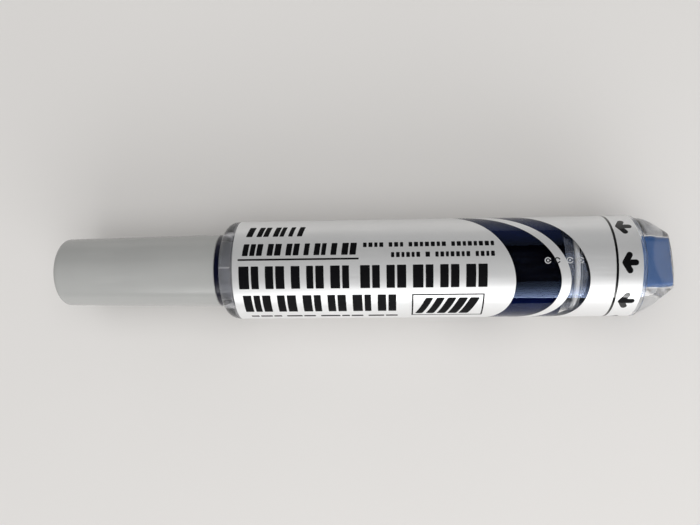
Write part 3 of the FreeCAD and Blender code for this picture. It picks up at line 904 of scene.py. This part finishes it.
def coil_spring(name, front_end, rear_end, radius, wire, turns, segments=48, around=12):
    """A compression spring whose first and last turns lie closer together than the rest. radius
    is that of the wire's middle line, and wire is the wire's own radius."""
    points = []
    total = int(turns * segments)
    span = rear_end - front_end - 2 * wire
    closed = CLOSED_TURNS / turns
    for k in range(total + 1):
        share = k / total
        angle = 2 * math.pi * turns * share
        if share < closed:
            along = share * share / (2 * closed)
        elif share > 1 - closed:
            along = 1 - closed - (1 - share) ** 2 / (2 * closed)
        else:
            along = share - closed / 2
        station = front_end + wire + span * along / (1 - closed)
        for j in range(around):
            swing = 2 * math.pi * j / around
            reach = radius + wire * math.cos(swing)
            points.append(to_frame(station + wire * math.sin(swing), reach * math.sin(angle),
                                   reach * math.cos(angle)))
    faces = []
    for k in range(total):
        for j in range(around):
            after = (j + 1) % around
            faces.append((k * around + j, k * around + after,
                          (k + 1) * around + after, (k + 1) * around + j))
    faces.append(tuple(range(around)))
    faces.append(tuple(total * around + j for j in range(around)))
    return finish_mesh(name, points, faces)


def spring(name, node, body, radius, wire, turns):
    """A spring between the two faces that its CAD node lies between."""
    front_end, rear_end = low(node), high(node)
    made = coil_spring(name, front_end, rear_end, radius, wire, turns)
    settle(made, body, spring_steel, "spring_steel", node)
    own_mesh(made)


spring("pump_spring_coil", "pump_spring", "barrel", 7.45, 0.3, 5.5)
spring("valve_spring_coil", "valve_spring", "barrel", 1.75, 0.2, 5.0)

# ---- Pump button --------------------------------------------------------------------------------

BUTTON_END = high("pump_button")
BUTTON_FRONT = low("pump_button")
SKIRT_RADIUS = 9.5
BUTTON_CROWN = 1.0
CONE_REAR = BUTTON_END - BUTTON_CROWN
CONE_FRONT = 117.2
CONE_END_RADIUS = 7.4
FLAT_DISTANCE = 5.4
FLAT_ANGLE = math.radians(38.4)
BUTTON_ROLL = 10.5
EDGE_BLEND = 0.35
KNOB_COLUMNS = 360
KNOB_HEART = 116.0
LAST_SWING = 121.0
SWING_COUNT = 132
FARTHEST = 14.0
HALVINGS = 44


def smooth_max(a, b, blend):
    """The larger of two depths, with a rounding where they are within blend of each other."""
    near = np.maximum(blend - np.abs(a - b), 0) / blend
    return np.maximum(a, b) + near * near * blend / 4


def knob_depth(station, across, up):
    """How far points lie outside the knob, in millimetres, its edges softly blended."""
    radius = np.hypot(across, up)
    slope = math.atan((SKIRT_RADIUS - CONE_END_RADIUS) / (CONE_REAR - CONE_FRONT))
    cone = (radius - SKIRT_RADIUS) * math.cos(slope) + (station - CONE_FRONT) * math.sin(slope)
    depth = smooth_max(radius - SKIRT_RADIUS, cone, EDGE_BLEND)
    sphere = (CONE_END_RADIUS ** 2 + BUTTON_CROWN ** 2) / (2 * BUTTON_CROWN)
    crown = np.sqrt((station - BUTTON_END + sphere) ** 2 + radius ** 2) - sphere
    depth = smooth_max(depth, crown, EDGE_BLEND)
    for k in range(4):
        facing = math.radians(BUTTON_ROLL + 90 * k)
        outward = across * math.sin(facing) + up * math.cos(facing)
        flat = ((station - CONE_REAR) * math.sin(FLAT_ANGLE)
                + (outward - FLAT_DISTANCE) * math.cos(FLAT_ANGLE))
        depth = smooth_max(depth, flat, EDGE_BLEND)
    return depth


def knob_rings():
    """Rings of the knob's outside, from the middle of its end to just short of its front rim.
    Each point is found by halving a straight line out from the knob's heart."""
    swings = np.radians(np.linspace(0, LAST_SWING, SWING_COUNT))
    facing = np.linspace(0, 2 * math.pi, KNOB_COLUMNS, endpoint=False)
    swing, face = np.meshgrid(swings, facing, indexing="ij")
    near, far = np.zeros_like(swing), np.full_like(swing, FARTHEST)
    for _ in range(HALVINGS):
        middle = (near + far) / 2
        radius = middle * np.sin(swing)
        outside = knob_depth(KNOB_HEART + middle * np.cos(swing), radius * np.sin(face),
                             radius * np.cos(face)) > 0
        far = np.where(outside, middle, far)
        near = np.where(outside, near, middle)
    station = KNOB_HEART + near * np.cos(swing)
    radius = near * np.sin(swing)
    rings = [[to_frame(station[0, 0], 0, 0)]]
    for i in range(1, len(swings)):
        rings.append([
            to_frame(station[i, j], radius[i, j] * math.sin(facing[j]),
                     radius[i, j] * math.cos(facing[j]))
            for j in range(KNOB_COLUMNS)
        ])
    return rings


CORE_FRONT = 115.3
CORE_REAR = 121.3
CORE_HALF = 4.9
CORE_COLUMNS = 180
CORE_SEAT = CORE_FRONT - 0.1
SOCKET_BORE = 2.68
SOCKET_END = 118.8
SKIRT_BORE = 8.45
LATCH_BORE = 8.15
SQUARENESS = 8


def soft_square(station, half, segments):
    """A ring that is nearly square, its sides facing the same way as the knob's flats."""
    ring = []
    for k in range(segments):
        angle = 2 * math.pi * k / segments
        turn = angle - math.radians(BUTTON_ROLL)
        spread = math.cos(turn) ** SQUARENESS + math.sin(turn) ** SQUARENESS
        radius = half / spread ** (1 / SQUARENESS)
        ring.append(to_frame(station, radius * math.sin(angle), radius * math.cos(angle)))
    return ring


# the last point only steers the first corner's rounding, and isn't part of the knob
knob_inside = rounded([
    (BUTTON_FRONT, SKIRT_RADIUS, 0.25),
    (BUTTON_FRONT, SKIRT_BORE, 0.2),
    (112.9, SKIRT_BORE, 0.1),
    (113.0, LATCH_BORE, 0.1),
    (113.4, LATCH_BORE, 0.1),
    (113.5, SKIRT_BORE, 0.1),
    (CORE_SEAT, SKIRT_BORE, 0.4),
    (CORE_SEAT, 7.5, 0),
    (112.0, SKIRT_RADIUS, 0),
])[:-1]
rings = knob_rings() + [circle(s, r, KNOB_COLUMNS) for s, r in knob_inside]
rings += [soft_square(station, CORE_HALF + FIT_GAP, KNOB_COLUMNS)
          for station in (CORE_SEAT, CORE_REAR + FIT_GAP)]
rings.append(circle(CORE_REAR + FIT_GAP, 0))
knob = ring_mesh("pump_knob", rings)
settle(knob, "button", knob_clear, "blue_plastic", "pump_button")

core_outside = ((CORE_FRONT, 0.1), (CORE_FRONT + 0.1, 0.0), (CORE_REAR - 0.2, 0.0),
                (CORE_REAR - 0.06, 0.06), (CORE_REAR, 0.2))
core_rings = [soft_square(station, CORE_HALF - inset, CORE_COLUMNS)
              for station, inset in core_outside]
core_rings += [circle(station, 0) for station in (CORE_REAR, SOCKET_END)]
core_rings += [circle(station, SOCKET_BORE, CORE_COLUMNS) for station in (SOCKET_END, CORE_FRONT)]
core = ring_mesh("knob_core", core_rings)
settle(core, "button", pump_blue, "blue_plastic")

# ---- Floor, light and camera --------------------------------------------------------------------


FLOOR_SIZE = 3.0
FLOOR_DROP = 0.0001
DIM_END = 0.3
KEY_FADE = ((0.0, 1.0), (0.03, 1.0), (0.07, 0.75), (0.2, 0.56), (0.4, 0.32), (0.7, 0.09),
            (1.0, 0.04))


def floor():
    """A plain, pale floor just under the marker."""
    made = Material("floor_pale", Roughness=0.75, Specular_IOR_Level=0.2)
    made.colour(made.blend(made.spread(made.noise(6.0), 0.0, 1.0),
                           (0.612, 0.598, 0.585), (0.592, 0.578, 0.565)))
    bpy.ops.mesh.primitive_plane_add(size=FLOOR_SIZE,
                                     location=(0, 0, BARREL_LOW.z - FLOOR_DROP))
    plane = bpy.context.object
    plane.name = "floor"
    dress(plane, made.material)


def shade_lamp(lamp, fade):
    """Give a lamp its brightness at places up its height, and dim it towards the cap."""
    lamp.use_nodes = True
    tree = lamp.node_tree
    emission = tree.nodes["Emission"]
    where = tree.nodes.new("ShaderNodeNewGeometry")
    split = tree.nodes.new("ShaderNodeSeparateXYZ")
    ramp = tree.nodes.new("ShaderNodeValToRGB")
    stops = ramp.color_ramp.elements
    while len(stops) < len(fade):
        stops.new(0.5)
    for stop, (place, level) in zip(stops, fade):
        stop.position = place
        stop.color = (level, level, level, 1)
    tree.links.new(where.outputs["Parametric"], split.inputs["Vector"])
    tree.links.new(split.outputs["Y"], ramp.inputs["Fac"])
    tree.links.new(ramp.outputs["Color"], emission.inputs["Color"])
    dimming = tree.nodes.new("ShaderNodeMapRange")
    dimming.inputs["From Max"].default_value = 0.5
    dimming.inputs["To Min"].default_value = DIM_END
    tree.links.new(split.outputs["X"], dimming.inputs["Value"])
    tree.links.new(dimming.outputs["Result"], emission.inputs["Strength"])


def soft_box(name, size, off_vertical, side, distance, power, mirrored=True, fade=(), along=0.0):
    """A rectangular lamp that faces the marker. off_vertical is its lean in degrees, along
    shifts it lengthwise, and fade gives its brightness at places up its height, from 0 to 1."""
    lamp = bpy.data.lights.new(name, "AREA")
    lamp.shape = "RECTANGLE"
    lamp.size, lamp.size_y = size
    lamp.energy = power
    if fade:
        shade_lamp(lamp, fade)
    thing = bpy.data.objects.new(name, lamp)
    lean = math.radians(off_vertical)
    thing.location = (along, side * distance * math.sin(lean), distance * math.cos(lean))
    thing.rotation_euler = (-side * lean, 0, 0)
    thing.visible_glossy = mirrored
    bpy.context.scene.collection.objects.link(thing)


floor()
soft_box("key_box", (0.85, 0.378), 52.8, -1, 0.5, 9.8, fade=KEY_FADE, along=0.17)
soft_box("far_card", (0.85, 0.36), 68.0, 1, 0.5, 0.2)
soft_box("overhead_fill", (1.2, 1.2), 0, 1, 0.9, 6.0, mirrored=False)

STUDIO_GLOW = 0.44

world = bpy.data.worlds.new("studio")
bpy.context.scene.world = world
world.use_nodes = True
backdrop = world.node_tree.nodes["Background"]
backdrop.inputs["Color"].default_value = (1.0, 0.995, 0.98, 1)
backdrop.inputs["Strength"].default_value = STUDIO_GLOW
world.cycles_visibility.glossy = False

LENS = 32.0
SENSOR_WIDTH = 36.0
CAMERA_PLACE = (0.0061, 0, 0.13757)
CAMERA_LEAN = 0.598
CAMERA_SWING = 3.488
CAMERA_ROLL = -0.726

camera = bpy.data.cameras.new("camera")
camera.lens = LENS
camera.sensor_width = SENSOR_WIDTH
viewer = bpy.data.objects.new("camera", camera)
bpy.context.scene.collection.objects.link(viewer)
turn = (Matrix.Rotation(math.radians(CAMERA_LEAN), 4, "X")
        @ Matrix.Rotation(math.radians(CAMERA_SWING), 4, "Y")
        @ Matrix.Rotation(math.radians(CAMERA_ROLL), 4, "Z"))
viewer.matrix_world = Matrix.Translation(CAMERA_PLACE) @ turn
bpy.context.scene.camera = viewer
bpy.context.scene.view_settings.view_transform = "Standard"
